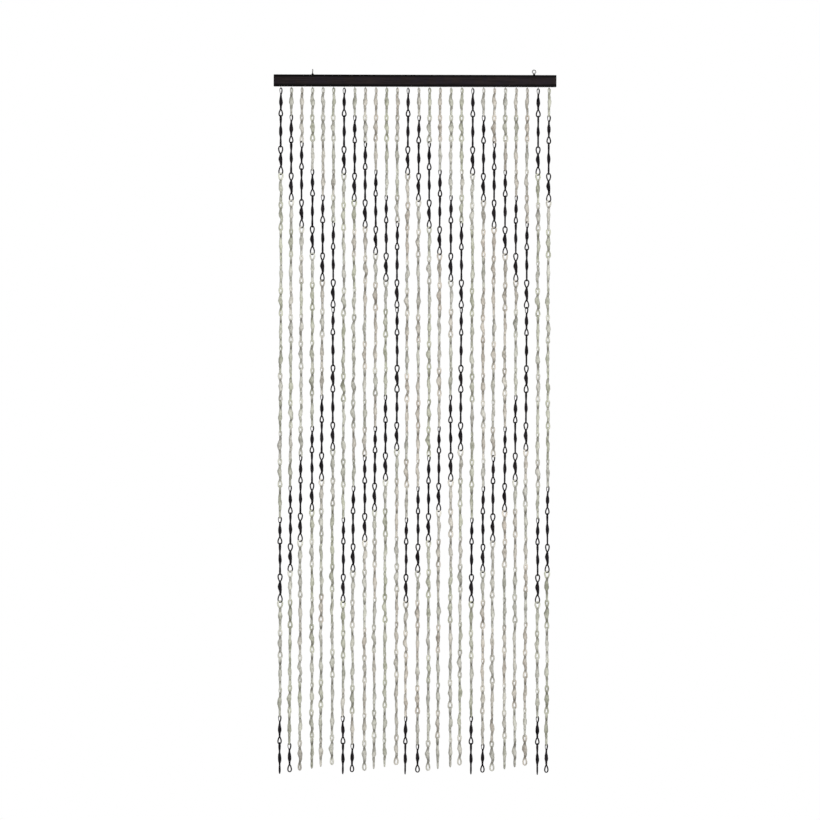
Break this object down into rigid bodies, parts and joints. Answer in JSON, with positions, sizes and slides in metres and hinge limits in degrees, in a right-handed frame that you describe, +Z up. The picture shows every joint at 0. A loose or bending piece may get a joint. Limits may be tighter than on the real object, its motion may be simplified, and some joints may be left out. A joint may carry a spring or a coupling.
{
  "type": "rope door curtain on a wooden hanging bar",
  "caption": "Door curtain of hanging strands, each a chain of cord-wound rope links in straw and black zigzag bands, hung by wire rings from a dark wooden bar with screw eyes on top.",
  "frame": {"origin": "Middle of the bar's flat back face.", "axes": "X along the bar, Y through the curtain with the front facing -Y, Z up."},
  "size_m": [0.9, 0.019, 2.2439],
  "materials": {
    "dark_wood": "satin stained",
    "eye_steel": "zinc plated",
    "hanger_wire": "plain wire",
    "natural_rope": "cord wound",
    "black_rope": "cord wound"
  },
  "bodies": {
    "root": {"bar": "dark_wood", "screw_eye_left": "eye_steel", "screw_eye_right": "eye_steel", "hanger_01": "hanger_wire", "hanger_02": "hanger_wire", "hanger_03": "hanger_wire", "hanger_04": "hanger_wire", "hanger_05": "hanger_wire", "hanger_06": "hanger_wire", "hanger_07": "hanger_wire", "hanger_08": "hanger_wire", "hanger_09": "hanger_wire", "hanger_10": "hanger_wire", "hanger_11": "hanger_wire", "hanger_12": "hanger_wire", "hanger_13": "hanger_wire", "hanger_14": "hanger_wire", "hanger_15": "hanger_wire", "hanger_16": "hanger_wire", "hanger_17": "hanger_wire", "hanger_18": "hanger_wire", "hanger_19": "hanger_wire", "hanger_20": "hanger_wire", "hanger_21": "hanger_wire", "hanger_22": "hanger_wire", "hanger_23": "hanger_wire", "hanger_24": "hanger_wire", "hanger_25": "hanger_wire", "hanger_26": "hanger_wire", "strand_01": "natural_rope", "strand_02": "natural_rope", "strand_03": "natural_rope", "strand_04": "natural_rope", "strand_05": "natural_rope", "strand_06": "natural_rope", "strand_07": "natural_rope", "strand_08": "natural_rope", "strand_09": "natural_rope", "strand_10": "natural_rope", "strand_11": "natural_rope", "strand_12": "natural_rope", "strand_13": "natural_rope", "strand_14": "natural_rope", "strand_15": "natural_rope", "strand_16": "natural_rope", "strand_17": "natural_rope", "strand_18": "natural_rope", "strand_19": "natural_rope", "strand_20": "natural_rope", "strand_21": "natural_rope", "strand_22": "natural_rope", "strand_23": "natural_rope", "strand_24": "natural_rope", "strand_25": "natural_rope", "strand_26": "natural_rope"}
  },
  "joints": []
}
